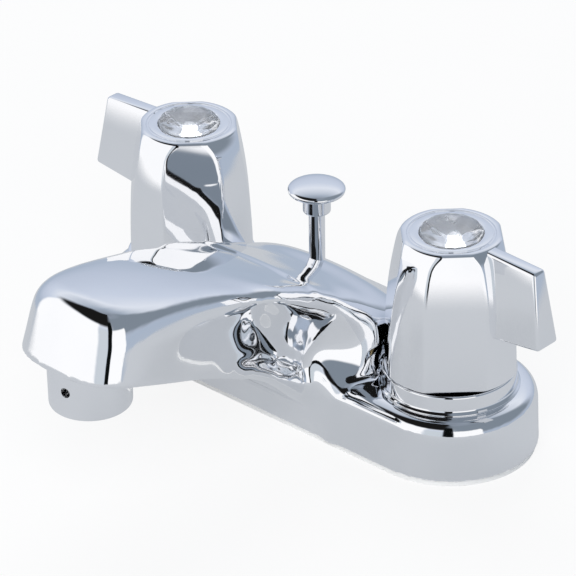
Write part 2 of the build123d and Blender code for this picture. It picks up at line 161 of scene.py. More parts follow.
def joinObjects(name, objects):
    made = bmesh.new()
    for obj in objects:
        made.from_mesh(obj.data)
    mesh = bpy.data.meshes.new(name)
    made.to_mesh(mesh)
    made.free()
    for obj in objects:
        bpy.data.objects.remove(obj)
    return smoothObject(name, mesh)


def applyModifiers(obj):
    graph = bpy.context.evaluated_depsgraph_get()
    mesh = bpy.data.meshes.new_from_object(obj.evaluated_get(graph))
    obj.modifiers.clear()
    obj.data = mesh
    return obj


def mirrored(obj, name):
    mesh = obj.data.copy()
    mesh.transform(Matrix.Scale(-1, 4, (1, 0, 0)))
    mesh.flip_normals()
    other = bpy.data.objects.new(name, mesh)
    bpy.context.scene.collection.objects.link(other)
    return other


# implicit shapes: negative inside, in millimetres

def softMin(a, b, k):
    h = np.clip(0.5 + 0.5 * (b - a) / k, 0, 1)
    return b + (a - b) * h - k * h * (1 - h)


def softMax(a, b, k):
    return -softMin(-a, -b, k)


def lineDistance(px, pz, line):
    # distance from every point to an open line
    best = np.full(px.shape, 1e9, np.float32)
    for (x0, z0), (x1, z1) in zip(line[:-1], line[1:]):
        dx, dz = x1 - x0, z1 - z0
        t = np.clip(((px - x0) * dx + (pz - z0) * dz) / max(dx * dx + dz * dz, 1e-9), 0, 1)
        best = np.minimum(best, (px - x0 - t * dx) ** 2 + (pz - z0 - t * dz) ** 2)
    return np.sqrt(best)


def insideOutline(px, pz, line):
    inside = np.zeros(px.shape, bool)
    for (x0, z0), (x1, z1) in zip(line, list(line[1:]) + [line[0]]):
        if z0 == z1:
            continue
        crosses = (z0 > pz) != (z1 > pz)
        inside ^= crosses & (px < x0 + (pz - z0) * (x1 - x0) / (z1 - z0))
    return inside


# left and floor: where the outlines close, outside what is reckoned
loft = {"margin": 12.0, "endEdge": 2.0, "floor": -40.0, "left": -50.0, "outside": 60.0, "inside": -30.0}


def loftField(xs, ys, zs, stations, samples):
    # a body whose half sections at given Y are known; only its half with xs >= 0 is reckoned
    places = np.array([y for y, outline in stations])
    outlines = np.array([outline for y, outline in stations], float)
    order = np.argsort(places)
    field = np.full((len(xs), len(ys), len(zs)), loft["outside"], np.float32)
    px, pz = np.meshgrid(xs, zs, indexing="ij")
    low, high = places.min(), places.max()
    for j, y in enumerate(ys):
        if y < low - loft["margin"] or y > high + loft["margin"]:
            continue
        points = naturalSpline(places[order], outlines[order], [np.clip(y, low, high)])[0]
        both = np.concatenate([points[:0:-1] * (-1, 1), points])
        line = smoothLine(both, 2 * samples + 1)[samples:]
        ring = [tuple(p) for p in line] + [(line[-1][0], loft["floor"])]
        d = lineDistance(px, pz, ring)
        closed = [(loft["left"], line[0][1])] + ring + [(loft["left"], loft["floor"])]
        inside = insideOutline(px, pz, closed)
        field[:, j, :] = np.where(inside, -d, d)
    beyond = np.maximum(low - ys, ys - high).astype(np.float32)
    return softMax(field, beyond[None, :, None], loft["endEdge"])


def surfaceOf(field, xs, ys, zs):
    # quads on the zero level of a field, one vertex in each cell that it crosses
    inside = field < 0
    nx, ny, nz = field.shape
    count = np.zeros((nx - 1, ny - 1, nz - 1), np.int8)
    for i in (0, 1):
        for j in (0, 1):
            for k in (0, 1):
                count += inside[i:nx - 1 + i, j:ny - 1 + j, k:nz - 1 + k]
    cells = np.argwhere((count > 0) & (count < 8))
    index = np.full(count.shape, -1)
    index[tuple(cells.T)] = np.arange(len(cells))
    total = np.zeros((len(cells), 3))
    hits = np.zeros(len(cells))
    for axis in range(3):
        for u in (0, 1):
            for v in (0, 1):
                a = np.insert(np.array([u, v]), axis, 0)
                b = np.insert(np.array([u, v]), axis, 1)
                fa = field[tuple((cells + a).T)]
                fb = field[tuple((cells + b).T)]
                crosses = (fa < 0) != (fb < 0)
                t = np.where(crosses, fa / np.where(crosses, fa - fb, 1), 0)
                place = a + t[:, None] * (b - a)
                total += place * crosses[:, None]
                hits += crosses
    step = np.array([xs[1] - xs[0], ys[1] - ys[0], zs[1] - zs[0]])
    vertices = np.array([xs[0], ys[0], zs[0]]) + (cells + total / hits[:, None]) * step
    quads = []
    for axis in range(3):
        u, v = [(1, 2), (2, 0), (0, 1)][axis]
        first = np.moveaxis(inside, (axis, u, v), (0, 1, 2))
        cellIndex = np.moveaxis(index, (axis, u, v), (0, 1, 2))
        start = first[:-1, 1:-1, 1:-1]
        end = first[1:, 1:-1, 1:-1]
        for rising, found in ((True, start & ~end), (False, end & ~start)):
            i, j, k = np.nonzero(found)
            ring = [cellIndex[i, j + a, k + b] for a, b in ((0, 0), (1, 0), (1, 1), (0, 1))]
            quads.append(np.stack(ring if rising else ring[::-1], 1))
    return vertices, np.concatenate(quads)


def relax(vertices, quads, pulls, weight=1.0):
    # evens out the small steps of the grid; a pull back after each pull keeps the shape from shrinking
    a = quads.ravel()
    b = np.roll(quads, -1, axis=1).ravel()
    n = len(vertices)
    degree = np.bincount(a, minlength=n) + np.bincount(b, minlength=n)
    for pull in pulls:
        mean = np.empty_like(vertices)
        for c in range(3):
            near = np.bincount(a, vertices[b, c], n) + np.bincount(b, vertices[a, c], n)
            mean[:, c] = near / degree
        vertices = vertices + pull * weight * (mean - vertices)
    return vertices


# body casting: base, hump and spout flow into each other

casting = {
    "step": 0.75,
    "halfSpacing": 50.8, "baseRadius": 26.0, "baseDraft": 2.0, "baseTop": 20.0, "baseFoot": 1.6,
    "baseEdge": 5.2, "humpBlend": 4.0, "spoutBlend": 2.4, "noseRoll": 6.0, "rimEdge": 1.3,
    "collarSeat": 21.0, "valveBore": 9.5, "outletReach": 94.0, "outletBore": 12.2, "outletTop": 50.4,
    "valveFloor": 10.0, "seatEdge": 2.0, "archHalfWidth": 30.0, "archHeight": 11.0, "archDepth": 1.6,
    "archEdge": 1.0, "gussetNose": (18.0, -55.5, 37.8), "gussetOuter": (20.0, -33.9, 24.8),
    "gussetInner": (13.0, -41.8, 33.5), "gussetBack": -24.0, "gussetEdge": 2.0, "gussetBlend": 1.6,
    "noseLow": 44.0, "noseHigh": 74.0, "noseShares": (-0.6, 1.2), "noseSide": 12.0, "noseBack": -60.0,
    "humpPoints": 40, "spoutPoints": 44, "nosePoints": 48, "rimStart": -22.0, "rimSlope": 0.85,
    "cove": (21.0, -32.0, 31.0), "coveReach": 20.0, "coveFade": 5.0, "coveSoftness": 20.0,
    "gridX": 80.0, "gridY": (-112.0, 30.0), "gridZ": (-1.0, 75.0), "evenings": 12, "rearGap": 0.05,
}
humpStations = [
    (25.5, [(0, 22.6), (10, 22.4), (17, 21.9), (23, 21.1), (27, 20.4), (29.5, 19.9), (32, 19.2)]),
    (21.3, [(0, 25.8), (10, 25.5), (17, 24.7), (23, 23.6), (27, 22.6), (29.5, 21.8), (32, 20.7)]),
    (17.0, [(0, 29), (10, 28.6), (17, 27.8), (23, 26.4), (27, 25), (29.5, 23.8), (32, 22.2)]),
    (9.0, [(0, 35.6), (10, 35.2), (17, 34.3), (23, 32.5), (27, 30.7), (29.5, 28.9), (32, 26.6)]),
    (1.0, [(0, 41), (10, 40.6), (17, 39.6), (23, 37.6), (27, 35.2), (29.5, 32.8), (32, 29.6)]),
    (-6.0, [(0, 43), (10, 42.8), (17, 42.2), (23, 40.6), (27, 38), (30, 33.6), (32.5, 27.6)]),
    (-11.0, [(0, 44.8), (10, 44.6), (17, 44.1), (23, 42.8), (27, 39.2), (29.8, 32.5), (32, 24.5)]),
    (-16.7, [(0, 47), (10, 46.8), (17, 46.3), (23.6, 44.6), (26.6, 39), (27, 29), (31, 22.3)]),
    (-21.0, [(0, 48.8), (10, 48.6), (17, 48.2), (23.2, 46.8), (24.2, 39.5), (22.8, 28.5), (29.3, 21.3)]),
    (-25.6, [(0, 50.8), (10, 50.6), (17, 50.3), (22.6, 49), (22.2, 40.5), (19.6, 28.4), (28.3, 20.8)]),
]
spoutStations = [
    (-10.0, [(0, 43), (8, 42.5), (13, 41), (16, 38.5), (16.6, 35.5),
            (16, 30), (15, 25), (14.2, 20), (13.6, 14), (13.4, 5)]),
    (-18.0, [(0, 47), (8, 46.8), (15, 46), (20, 43.5), (21, 40.5),
            (19.5, 34), (17, 27), (15, 21), (14, 14), (13.6, 5)]),
    (-26.0, [(0, 51), (8, 50.8), (16, 50.2), (21.8, 49.3), (22.9, 47.3),
            (20.8, 38), (18.9, 28), (18.3, 23.5), (18, 16), (17.8, 6)]),
    (-34.0, [(0, 54.6), (8, 54.4), (16, 53.9), (21.6, 52.9), (22.7, 50.9),
            (20.2, 42), (18.5, 33.6), (17.7, 30), (17.3, 23), (17.2, 12)]),
    (-41.0, [(0, 57.4), (8, 57.2), (15.8, 56.7), (21.2, 55.6), (22.3, 53.4),
            (20.6, 49), (19.2, 44.6), (18, 41), (17.5, 33), (17.2, 18)]),
    (-48.0, [(0, 60), (8, 59.8), (15.2, 59.2), (19.9, 57.2), (20.9, 55),
            (20.3, 53.2), (19.4, 51), (18.4, 47.8), (17.9, 40), (17.3, 22)]),
    (-54.5, [(0, 62.2), (8, 62), (14.8, 61.3), (19.4, 59.6), (20.4, 57.2),
            (20.4, 55), (19.7, 52), (19, 47.6), (18.5, 40), (17.8, 27)]),
    (-66.0, [(0, 65.9), (8, 65.6), (14.4, 64.8), (18.6, 62.9), (19.8, 60.4),
            (20.1, 57.5), (19.8, 54), (19.3, 49), (18.6, 42), (17.6, 31)]),
    (-80.0, [(0, 69.3), (8, 68.9), (14.2, 67.9), (18.4, 65.8), (19.7, 63),
            (20.3, 60), (20.3, 56.5), (20, 51.5), (19.5, 46), (18.8, 37)]),
    (-93.0, [(0, 71), (8, 70.5), (14, 69.4), (18.2, 67.2), (19.6, 64.4),
            (20.3, 61.4), (20.4, 58), (20.4, 53.5), (20.4, 48), (20.2, 41)]),
    (-103.0, [(0, 71.4), (8, 70.9), (14, 69.8), (18.2, 67.6), (19.6, 64.8),
            (20.3, 61.8), (20.4, 58.5), (20.7, 54.5), (20.9, 49.5), (21, 43)]),
    (-113.0, [(0, 71.6), (8, 71.1), (14, 70), (18.2, 67.8), (19.6, 65),
            (20.3, 62), (20.4, 59), (20.8, 55.5), (21.1, 51), (21.2, 45)]),
]
rimLine = [
    (-22.0, 7.0), (-26.5, 10.6), (-31.0, 14.6), (-37.0, 20.6), (-44.0, 26.0), (-53.0, 31.0),
    (-67.0, 37.2), (-82.0, 43.2), (-92.0, 47.2), (-101.0, 49.8), (-113.0, 50.6),
]
nosePlanLow = [(0, -110.2), (7, -109.8), (14, -107.9), (20.8, -102.4), (26.5, -82)]
nosePlanHigh = [(0, -101.0), (6.8, -100.5), (13.4, -98.0), (18.4, -92.6), (24.3, -80)]


def noseField(xs, ys, zs):
    # the leaning front of the spout: its outline seen from above slides back with the height
    c = casting
    field = np.full((len(xs), len(ys), len(zs)), c["noseBack"], np.float32)
    near = np.nonzero(ys < c["noseBack"])[0]
    px, py = np.meshgrid(xs, ys[near], indexing="ij")
    low = np.array(nosePlanLow, float)
    high = np.array(nosePlanHigh, float)
    for k, z in enumerate(zs):
        share = (z - c["noseLow"]) / (c["noseHigh"] - c["noseLow"])
        plan = low + (high - low) * np.clip(share, *c["noseShares"])
        both = np.concatenate([plan[:0:-1] * (-1, 1), plan])
        line = smoothLine(both, 2 * c["nosePoints"] + 1)[c["nosePoints"]:]
        ring = [tuple(p) for p in line] + [(line[-1][0] + c["noseSide"], 0.0)]
        d = lineDistance(px, py, ring)
        inside = insideOutline(px, py, [(loft["left"], line[0][1])] + ring + [(loft["left"], 0.0)])
        field[:, near, k] = np.where(inside, -d, d)
    return field


def gussetField(X, Y, Z):
    # the small block beside the spout: a sloping top, a flank and a front
    nose = np.array(casting["gussetNose"])
    outer = np.array(casting["gussetOuter"])
    inner = np.array(casting["gussetInner"])
    up = np.cross(outer - nose, inner - nose)
    up = up / np.linalg.norm(up) * np.sign(up[2])
    top = (X - nose[0]) * up[0] + (Y - nose[1]) * up[1] + (Z - nose[2]) * up[2]
    side = np.array([outer[1] - nose[1], nose[0] - outer[0]])
    side = side / np.linalg.norm(side)
    flank = (X - nose[0]) * side[0] + (Y - nose[1]) * side[1]
    front = nose[1] - Y
    ease = casting["gussetEdge"]
    body = softMax(softMax(flank, front, ease), top, ease)
    return np.maximum(body, Y - casting["gussetBack"])


def makeCasting():
    c = casting
    step = c["step"]
    xs = np.arange(0, c["gridX"] + step, step)
    ys = np.arange(*c["gridY"], step)
    zs = np.arange(*c["gridZ"], step)
    X, Y, Z = np.meshgrid(*(places.astype(np.float32) for places in (xs, ys, zs)), indexing="ij")
    spine = np.maximum(X - c["halfSpacing"], 0)
    wall = np.sqrt(spine**2 + Y**2) - (c["baseRadius"] - Z * math.tan(math.radians(c["baseDraft"])))
    base = softMax(wall, Z - c["baseTop"], c["baseEdge"])
    rise = c["archHeight"]
    archRadius = (c["archHalfWidth"] ** 2 + rise**2) / (2 * rise)
    arch = np.sqrt(X**2 + (Z - rise + archRadius) ** 2) - archRadius
    base = softMax(base, -np.maximum(arch, Y + c["baseRadius"] - c["archDepth"]), c["archEdge"])
    hump = loftField(xs, ys, zs, humpStations, c["humpPoints"])
    toValve = np.sqrt((X - c["halfSpacing"]) ** 2 + Y**2)
    overSeat = c["collarSeat"] - toValve
    hump = softMax(hump, overSeat, c["seatEdge"])
    spout = loftField(xs, ys, zs, spoutStations, c["spoutPoints"])
    spout = softMax(spout, noseField(xs, ys, zs), c["noseRoll"])
    neck = softMin(spout, gussetField(X, Y, Z), c["gussetBlend"])
    rim = naturalSpline([y for y, z in reversed(rimLine)], [[z] for y, z in reversed(rimLine)], ys)[:, 0]
    below = np.broadcast_to(rim[None, :, None], X.shape) - Z
    neck = softMax(neck, np.where(Y < c["rimStart"], below * c["rimSlope"], loft["inside"]), c["rimEdge"])
    body = softMin(base, hump, c["humpBlend"])
    body = softMin(body, neck, c["spoutBlend"])
    body = np.maximum(body, -np.maximum(-overSeat, c["baseTop"] - Z))
    body = np.maximum(body, c["baseFoot"] - Z)
    body = np.maximum(body, -np.maximum(toValve - c["valveBore"], c["valveFloor"] - Z))
    toOutlet = np.sqrt(X**2 + (Y + c["outletReach"]) ** 2)
    body = np.maximum(body, -np.maximum(toOutlet - c["outletBore"], Z - c["outletTop"]))
    full = np.concatenate([body[:0:-1], body])
    fullXs = np.concatenate([-xs[:0:-1], xs])
    vertices, quads = surfaceOf(full.astype(np.float64), fullXs, ys, zs)
    vertices = relax(vertices, quads, [0.5, -0.52] * c["evenings"])
    cove = np.linalg.norm((np.abs(vertices[:, 0]) - c["cove"][0], vertices[:, 1] - c["cove"][1],
                           vertices[:, 2] - c["cove"][2]), axis=0)
    weight = np.clip((c["coveReach"] - cove) / c["coveFade"], 0, 1)[:, None]
    vertices = relax(vertices, quads, [0.5] * round(c["coveSoftness"] / step**2), weight)
    vertices[:, 2] = np.maximum(vertices[:, 2], c["baseFoot"])
    vertices[:, 1] = np.minimum(vertices[:, 1], c["baseRadius"] - c["rearGap"])
    return makeObject("bodyCasting", vertices, quads)


bodyCasting = makeCasting()
print("casting:", len(bodyCasting.data.polygons), "faces")


# handles: a domed round body with four flats, and a wing

handle = {
    "segments": 256, "rows": 110, "arris": 0.25, "bottom": 26.8, "top": 68.7, "flats": 4, "facing": 0.3,
    "foot": 0.35, "wingRoot": 9.0, "wingTipBottom": 35.6, "wingTipTop": 31.9, "wingRootBottom": 41.6,
    "wingEndBottom": 44.8, "wingRootTop": 68.6, "wingEndTop": 67.5, "wingHalfTop": 2.3,
    "wingHalfBottom": 4.6, "wingTipHalfTop": 2.4, "wingTipHalfBottom": 4.4, "wingEdge": 1.1,
    "pocket": 9.15, "pocketFloor": 63.2,
}
handleProfile = [
    (20.3, 26.8), (20.1, 36.0), (19.6, 46.0), (18.6, 55.0), (17.3, 61.5), (15.9, 66.0), (14.9, 67.9),
]
flatProfile = [
    (18.4, 20.0), (18.3, 28.0), (18.0, 38.0), (17.3, 48.0), (16.5, 54.5), (15.4, 61.5), (14.5, 66.5),
    (13.6, 71.0),
]
# rounded lower and upper edges: how far in from the wall beside them, and how far above or below
footEdge = [(0.32, 0.0), (0.1, 0.1)]
crownEdge = [(0.15, 0.5), (0.4, 0.25), (0.75, 0.08), (1.15, 0.0)]
# the flat top with its groove, inwards to the button's pocket: radius, and how far below the top
crownTop = [
    (12.85, 0.0), (12.74, 0.04), (12.7, 0.15), (12.62, 0.5), (12.5, 0.6), (12.1, 0.6), (11.98, 0.5),
    (11.9, 0.15), (11.86, 0.04), (11.75, 0.0), (9.5, 0.0), (9.25, 0.06), (9.15, 0.25),
]
# the hub and the hollow around it, seen from below
handleHollow = [
    (0, 49.9), (3.44, 49.9), (3.44, 36.0), (6.4, 36.0), (6.4, 49.9), (11.8, 49.9), (11.8, 47),
    (15.7, 28.8), (15.7, 26.8),
]


def makeHandleBody(x):
    h = handle
    angles = np.arange(h["segments"]) * 2 * np.pi / h["segments"]
    heights = np.linspace(h["bottom"] + h["foot"], handleProfile[-1][1], h["rows"])
    whole = naturalSpline([z for r, z in handleProfile], [[r] for r, z in handleProfile], heights)[:, 0]
    flat = naturalSpline([z for r, z in flatProfile], [[r] for r, z in flatProfile], heights)[:, 0]
    rows = []
    for z, corner, distance in zip(heights, whole, flat):
        radius = np.full(h["segments"], corner)
        for k in range(h["flats"]):
            # a flat cuts only the side that it faces
            turn = np.cos(angles - math.radians(45 + 90 * k))
            plane = np.where(turn > h["facing"], distance / np.maximum(turn, h["facing"]), loft["outside"])
            radius = softMin(radius, plane, h["arris"])
        rows.append((radius, z))
    rows = [(rows[0][0] - inset, h["bottom"] + rise) for inset, rise in footEdge] + rows
    crown = [(rows[-1][0] - inset, h["top"] - drop) for inset, drop in crownEdge]
    crown += [(radius, h["top"] - drop) for radius, drop in crownTop]
    crown += [(h["pocket"], h["pocketFloor"]), (0, h["pocketFloor"])]
    return turnedShape("handleBody", handleHollow + rows + crown, x, 0, h["segments"], 50)


def makeWing(x):
    h = handle
    corners = []
    for reach, z, half in (
        (h["wingRoot"], h["wingRootBottom"], h["wingHalfBottom"]),
        (h["wingTipBottom"], h["wingEndBottom"], h["wingTipHalfBottom"]),
        (h["wingTipTop"], h["wingEndTop"], h["wingTipHalfTop"]),
        (h["wingRoot"], h["wingRootTop"], h["wingHalfTop"]),
    ):
        corners += [(x + reach, -half, z), (x + reach, half, z)]
    faces = [(0, 1, 3, 2), (2, 3, 5, 4), (4, 5, 7, 6), (6, 7, 1, 0), (0, 2, 4, 6), (1, 7, 5, 3)]
    wing = makeObject("handleWing", corners, faces)
    recalculate(wing)
    bevel = wing.modifiers.new("edges", "BEVEL")
    bevel.width = h["wingEdge"] * mm
    bevel.segments = 4
    return applyModifiers(wing)


spacing = casting["halfSpacing"]
rightHandle = joinObjects("rightHandle", [makeHandleBody(spacing), makeWing(spacing)])
sharpen(rightHandle, 50)
leftHandle = mirrored(rightHandle, "leftHandle")
handles = {"right": rightHandle, "left": leftHandle}
print("handles:", len(rightHandle.data.polygons), "faces each")


# collars, washers and nuts

collar = {
    "radius": 19.4, "top": 25.8, "seat": 20.0, "wall": 2.2, "hole": 12.6, "foot": 1.0, "footHeight": 0.8,
}
washer = {"radius": 17.5, "hole": 11.0, "top": -20.0, "thickness": 1.6}
nut = {
    "flats": 31.0, "top": -21.6, "thickness": 6.0, "bore": 10.45, "boreEdge": 0.6, "chamfer": 0.9,
    "chamferStart": 0.7, "chamferRise": 2.6, "chamferHeight": 1.5, "chamferEdge": 0.3, "cornerCut": 0.25,
    "cornerEdge": 0.5, "segments": 180, "rows": 22,
}


def makeCollar(name, x):
    c = collar
    profile = roundedProfile([
        (c["radius"] - c["wall"], c["seat"], 0),
        (c["radius"] + c["foot"], c["seat"], 0.15),
        (c["radius"] + c["foot"], c["seat"] + 0.35, 0.3),
        (c["radius"] + 0.05, c["seat"] + c["footHeight"] + 0.2, 0.6),
        (c["radius"], c["top"], 0.8),
        (c["hole"], c["top"], 0.3),
        (c["hole"], c["top"] - c["wall"], 0.2),
        (c["radius"] - c["wall"], c["top"] - c["wall"], 0.2),
        (c["radius"] - c["wall"], c["seat"], 0),
    ])
    return turnedShape(name, profile[:-1], x, 0, 192, 45)


def makeWasher(name, x):
    w = washer
    low = w["top"] - w["thickness"]
    profile = roundedProfile([
        (w["hole"], low, 0), (w["radius"], low, 0.35), (w["radius"], w["top"], 0.35),
        (w["hole"], w["top"], 0.2), (w["hole"], low, 0),
    ])
    return turnedShape(name, profile[:-1], x, 0, 128, 50)


def makeNut(name, x):
    # hexagon whose corners are turned off above and below
    n = nut
    count = n["segments"]
    angles = np.arange(count) * 2 * np.pi / count
    apothem = n["flats"] / 2
    fold = (angles + np.pi / 6) % (np.pi / 3) - np.pi / 6
    corner = apothem / math.cos(math.pi / 6) - n["cornerCut"]
    hexagon = softMin(apothem / np.cos(fold), np.full(count, corner), n["cornerEdge"])
    low = n["top"] - n["thickness"]
    edge = [n["bore"], n["bore"] + n["boreEdge"], apothem - n["chamfer"]]
    rows = [(radius, low) for radius in edge]
    for z in np.linspace(low, n["top"], n["rows"]):
        share = min(z - low, n["top"] - z, n["chamferHeight"]) / n["chamferHeight"]
        turned = apothem - n["chamferStart"] + n["chamferRise"] * share
        rows.append((softMin(hexagon, np.full(count, turned), n["chamferEdge"]), z))
    rows += [(radius, n["top"]) for radius in reversed(edge)]
    return turnedShape(name, rows, x, 0, count, 32)


collars = {}
washers = {}
nuts = {}
for side, sign in handleSides.items():
    x = sign * spacing
    collars[side] = makeCollar(side + "Collar", x)
    washers[side] = makeWasher(side + "Washer", x)
    nuts[side] = makeNut(side + "Locknut", x)
print("collars, washers and nuts made")


# knob, rod and aerator

rod = {
    "radius": 2.38, "bottom": -62.0, "knob": 8.4, "knobTop": 66.4, "knobThickness": 3.4, "knobRim": 1.3,
    "neck": 4.1, "neckBottom": 57.0, "neckEdge": 0.7, "grip": 6.0, "fit": 0.04,
}
aerator = {
    "radius": 11.9, "bottom": 36.0, "shoulder": 50.1, "thread": 10.35, "top": 56.0, "bore": 9.6, "lip": 9.2,
    "lipHeight": 1.6, "reach": -94.0, "edge": 0.9, "holeRadius": 1.5, "holeHeight": 44.4,
    "holeTurn": 10.0, "drill": 4.0,
}


def makeRod(name):
    r = rod
    profile = roundedProfile([
        (0, r["bottom"], 0), (r["radius"], r["bottom"], 0.5), (r["radius"], r["neckBottom"] + r["grip"], 0),
        (0, r["neckBottom"] + r["grip"], 0),
    ])
    return turnedShape(name, profile, 0, 0, 64, 50)


def makeKnob(name):
    r = rod
    under = r["knobTop"] - r["knobThickness"]
    rim = under + r["knobRim"]
    turns = [math.radians(a) for a in range(0, 91, 6)]
    dome = [(r["knob"] * math.cos(turn), rim + (r["knobTop"] - rim) * math.sin(turn)) for turn in turns]
    dome[-1] = (0, r["knobTop"])
    hole = r["radius"] + r["fit"]
    foot = roundedProfile([
        (hole, r["neckBottom"], 0), (r["neck"], r["neckBottom"], r["neckEdge"]),
        (r["neck"], under, r["neckEdge"]), (r["knob"] - 0.2, under + 0.45, 0.4), (r["knob"], rim, 0),
    ])
    inner = [(0, r["neckBottom"] + r["grip"]), (hole, r["neckBottom"] + r["grip"])]
    return turnedShape(name, inner + foot + dome[1:], 0, 0, 128, 50)


def makeAerator(name):
    a = aerator
    profile = roundedProfile([
        (a["lip"], a["bottom"], 0), (a["radius"] - 0.2, a["bottom"], a["edge"]),
        (a["radius"], a["shoulder"], 0.2),
        (a["thread"], a["shoulder"], 0.1), (a["thread"], a["top"], 0.2), (a["bore"], a["top"], 0.1),
        (a["bore"], a["bottom"] + a["lipHeight"], 0.1), (a["lip"], a["bottom"] + a["lipHeight"], 0.1),
        (a["lip"], a["bottom"], 0),
    ])
    body = turnedShape(name, profile[:-1], 0, a["reach"], 192, 45)
    turn = math.radians(a["holeTurn"])
    r, d = a["holeRadius"], a["drill"]
    drill = turnedShape("wrenchHole", [(0, -d), (r, -d), (r, d), (0, d)], 0, 0, 48)
    out = Vector((math.sin(turn), -math.cos(turn), 0))
    place = Matrix.Translation((out * a["radius"] + Vector((0, a["reach"], a["holeHeight"]))) * mm)
    drill.data.transform(place @ out.to_track_quat("Z", "Y").to_matrix().to_4x4())
    cut = body.modifiers.new("hole", "BOOLEAN")
    cut.object = drill
    cut.operation = "DIFFERENCE"
    cut.solver = "EXACT"
    applyModifiers(body)
    bpy.data.objects.remove(drill)
    sharpen(body, 40)
    return body


liftRod = makeRod("liftRod")
liftKnob = makeKnob("liftKnob")
aeratorHousing = makeAerator("aeratorHousing")
print("rod, knob and aerator made")


# threads of the shanks, by Geometry Nodes

thread = {
    "radius": 10.4, "bore": 6.4, "top": 7.6, "bottom": -46.0, "pitch": 1.814, "depth": 0.9, "start": -1.2,
}
# the grid that is rolled into the tube: up the outside, over the top and down the bore; lengths in metres
threadGrid = {
    "around": 73, "along": 421, "wallEnd": 0.92, "crossOver": 0.94, "boreStart": 0.96, "tooth": (0.1, 0.9),
    "startEase": 0.0008, "endEase": 0.0012, "tipHeight": 0.0010, "tipDepth": 0.0008,
}
threadInputs = ("Radius", "Bore", "Top", "Bottom", "Pitch", "Depth", "Start", "X")


class Field:
    # a socket of a node tree that Python's operators can reckon with
    def __init__(self, tree, socket):
        self.tree = tree
        self.socket = socket

    @staticmethod
    def node(tree, kind, settings=None, inputs=None, out=0):
        made = tree.nodes.new(kind)
        for key, value in (settings or {}).items():
            if key == "stops":
                ramp = made.color_ramp
                while len(ramp.elements) < len(value):
                    ramp.elements.new(0.5)
                for stop, (share, shade) in zip(ramp.elements, value):
                    stop.position = share
                    stop.color = shade
            else:
                setattr(made, key, value)
        for key, value in (inputs or {}).items():
            target = made.inputs[key]
            if isinstance(value, Field):
                tree.links.new(value.socket, target)
            elif value is not None:
                target.default_value = value
        return Field(tree, made.outputs[out])

    def math(self, operation, *others, swap=False):
        values = [self] + list(others)
        if swap:
            values = values[::-1]
        return Field.node(self.tree, "ShaderNodeMath", {"operation": operation}, dict(enumerate(values)))

    def __add__(self, other):
        return self.math("ADD", other)

    __radd__ = __add__

    def __mul__(self, other):
        return self.math("MULTIPLY", other)

    __rmul__ = __mul__

    def __sub__(self, other):
        return self.math("SUBTRACT", other)

    def __rsub__(self, other):
        return self.math("SUBTRACT", other, swap=True)

    def __truediv__(self, other):
        return self.math("DIVIDE", other)

    def __rtruediv__(self, other):
        return self.math("DIVIDE", other, swap=True)

    def ramp(self, low, high):
        # rises smoothly from 0 at low to 1 at high
        settings = {"interpolation_type": "SMOOTHSTEP"}
        inputs = {"Value": self, 1: low, 2: high, 3: 0.0, 4: 1.0}
        return Field.node(self.tree, "ShaderNodeMapRange", settings, inputs)

    def feed(self, target):
        self.tree.links.new(self.socket, target)


def threadTree(material):
    tree = bpy.data.node_groups.new("threadedTube", "GeometryNodeTree")
    tree.interface.new_socket("Geometry", in_out="OUTPUT", socket_type="NodeSocketGeometry")
    for name in threadInputs:
        tree.interface.new_socket(name, in_out="INPUT", socket_type="NodeSocketFloat")
    given = tree.nodes.new("NodeGroupInput")
    entry = {name: Field(tree, given.outputs[name]) for name in threadInputs}
    g = threadGrid
    grid = tree.nodes.new("GeometryNodeMeshGrid")
    grid.inputs["Size X"].default_value = 1
    grid.inputs["Size Y"].default_value = 1
    grid.inputs["Vertices X"].default_value = g["around"]
    grid.inputs["Vertices Y"].default_value = g["along"]
    parts = tree.nodes.new("ShaderNodeSeparateXYZ")
    Field.node(tree, "GeometryNodeInputPosition").feed(parts.inputs[0])
    turn = (Field(tree, parts.outputs[0]) + 0.5) * 2 * math.pi
    share = Field(tree, parts.outputs[1]) + 0.5
    outer = share.math("LESS_THAN", g["crossOver"])
    rise = (share / g["wallEnd"]).math("MINIMUM", 1.0)
    inside = ((share - g["boreStart"]) / (1 - g["boreStart"])).math("MAXIMUM", 0.0)
    span = entry["Top"] - entry["Bottom"]
    z = entry["Bottom"] + span * rise * (1 - inside)
    above = z - entry["Bottom"]
    phase = (above / entry["Pitch"] - turn / (2 * math.pi)).math("FRACT")
    tooth = ((phase - 0.5).math("ABSOLUTE") * 2).ramp(*g["tooth"])
    onThread = (entry["Start"] - z).ramp(0.0, g["startEase"]) * above.ramp(0.0, g["endEase"])
    groove = entry["Depth"] * (1 - tooth) * onThread
    chamfer = (1 - above.ramp(0.0, g["tipHeight"])) * g["tipDepth"]
    wall = entry["Radius"] - groove - chamfer
    radius = wall * outer + entry["Bore"] * (1 - outer)
    x = entry["X"] + radius * turn.math("COSINE")
    y = radius * turn.math("SINE")
    spot = Field.node(tree, "ShaderNodeCombineXYZ", {}, {0: x, 1: y, 2: z})
    moved = tree.nodes.new("GeometryNodeSetPosition")
    tree.links.new(grid.outputs["Mesh"], moved.inputs["Geometry"])
    spot.feed(moved.inputs["Position"])
    merged = tree.nodes.new("GeometryNodeMergeByDistance")
    merged.inputs["Distance"].default_value = 1e-6
    tree.links.new(moved.outputs[0], merged.inputs[0])
    real = tree.nodes.new("GeometryNodeRealizeInstances")
    tree.links.new(merged.outputs[0], real.inputs[0])
    painted = tree.nodes.new("GeometryNodeSetMaterial")
    painted.inputs["Material"].default_value = material
    tree.links.new(real.outputs[0], painted.inputs[0])
    result = tree.nodes.new("NodeGroupOutput")
    tree.links.new(painted.outputs[0], result.inputs[0])
    return tree


